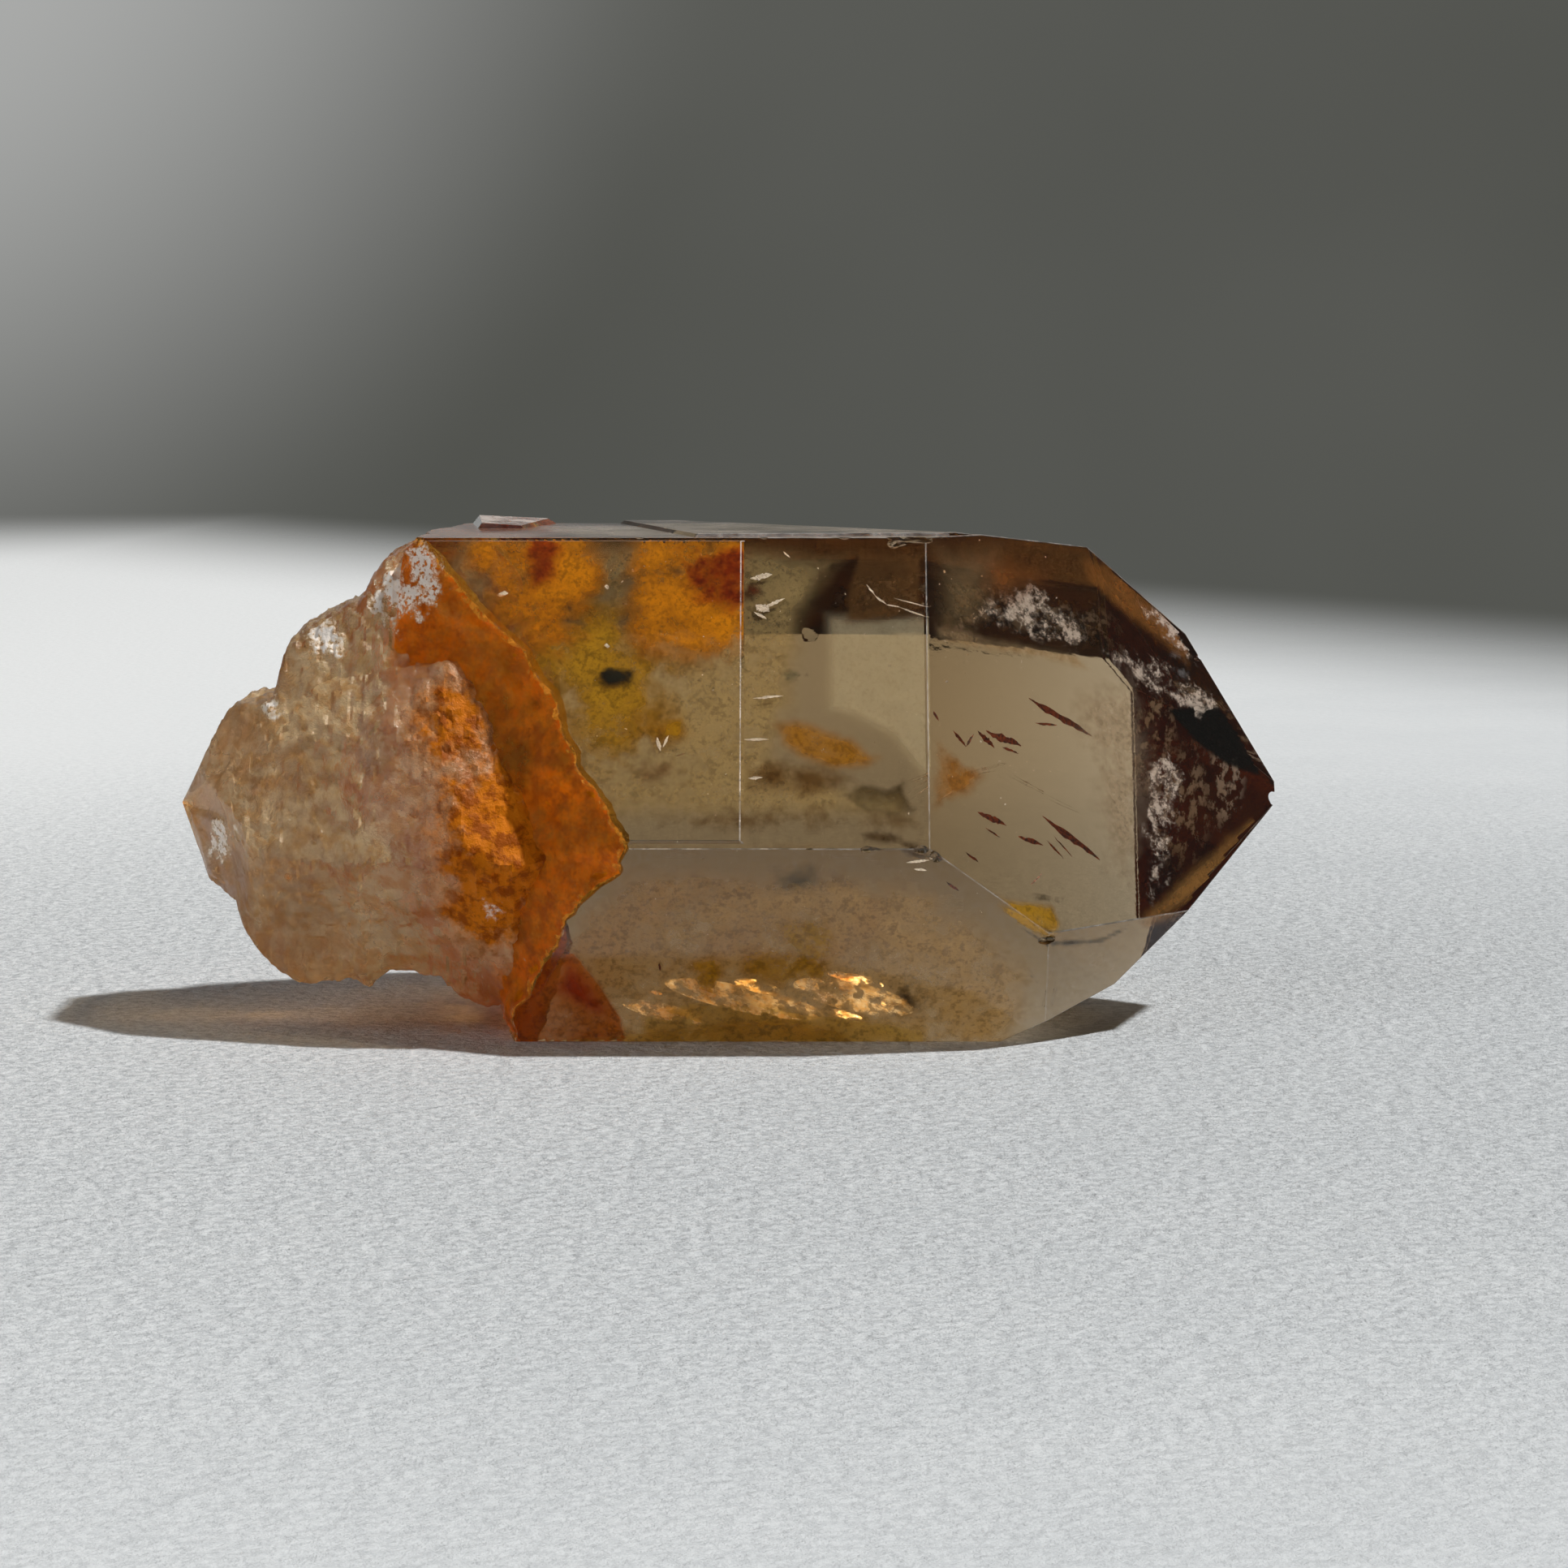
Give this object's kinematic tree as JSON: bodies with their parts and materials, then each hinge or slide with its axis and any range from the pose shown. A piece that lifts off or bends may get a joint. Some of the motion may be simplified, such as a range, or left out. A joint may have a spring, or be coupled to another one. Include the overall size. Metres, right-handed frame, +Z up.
{
  "type": "rough citrine crystal",
  "caption": "Rough transparent yellow quartz point with flat prism faces, a faceted tip and a broken stained base, lying on one long face.",
  "frame": {"origin": "centre of the crystal's box, on the surface it lies on", "axes": "X along the crystal's long axis towards its tip, Y across it from the front ridge to the back ridge, Z up"},
  "size_m": [0.0454, 0.0222, 0.0206],
  "materials": {
    "citrine": "natural crystal faces, rough broken base"
  },
  "bodies": {
    "root": {"citrine_crystal": "citrine"}
  },
  "joints": []
}
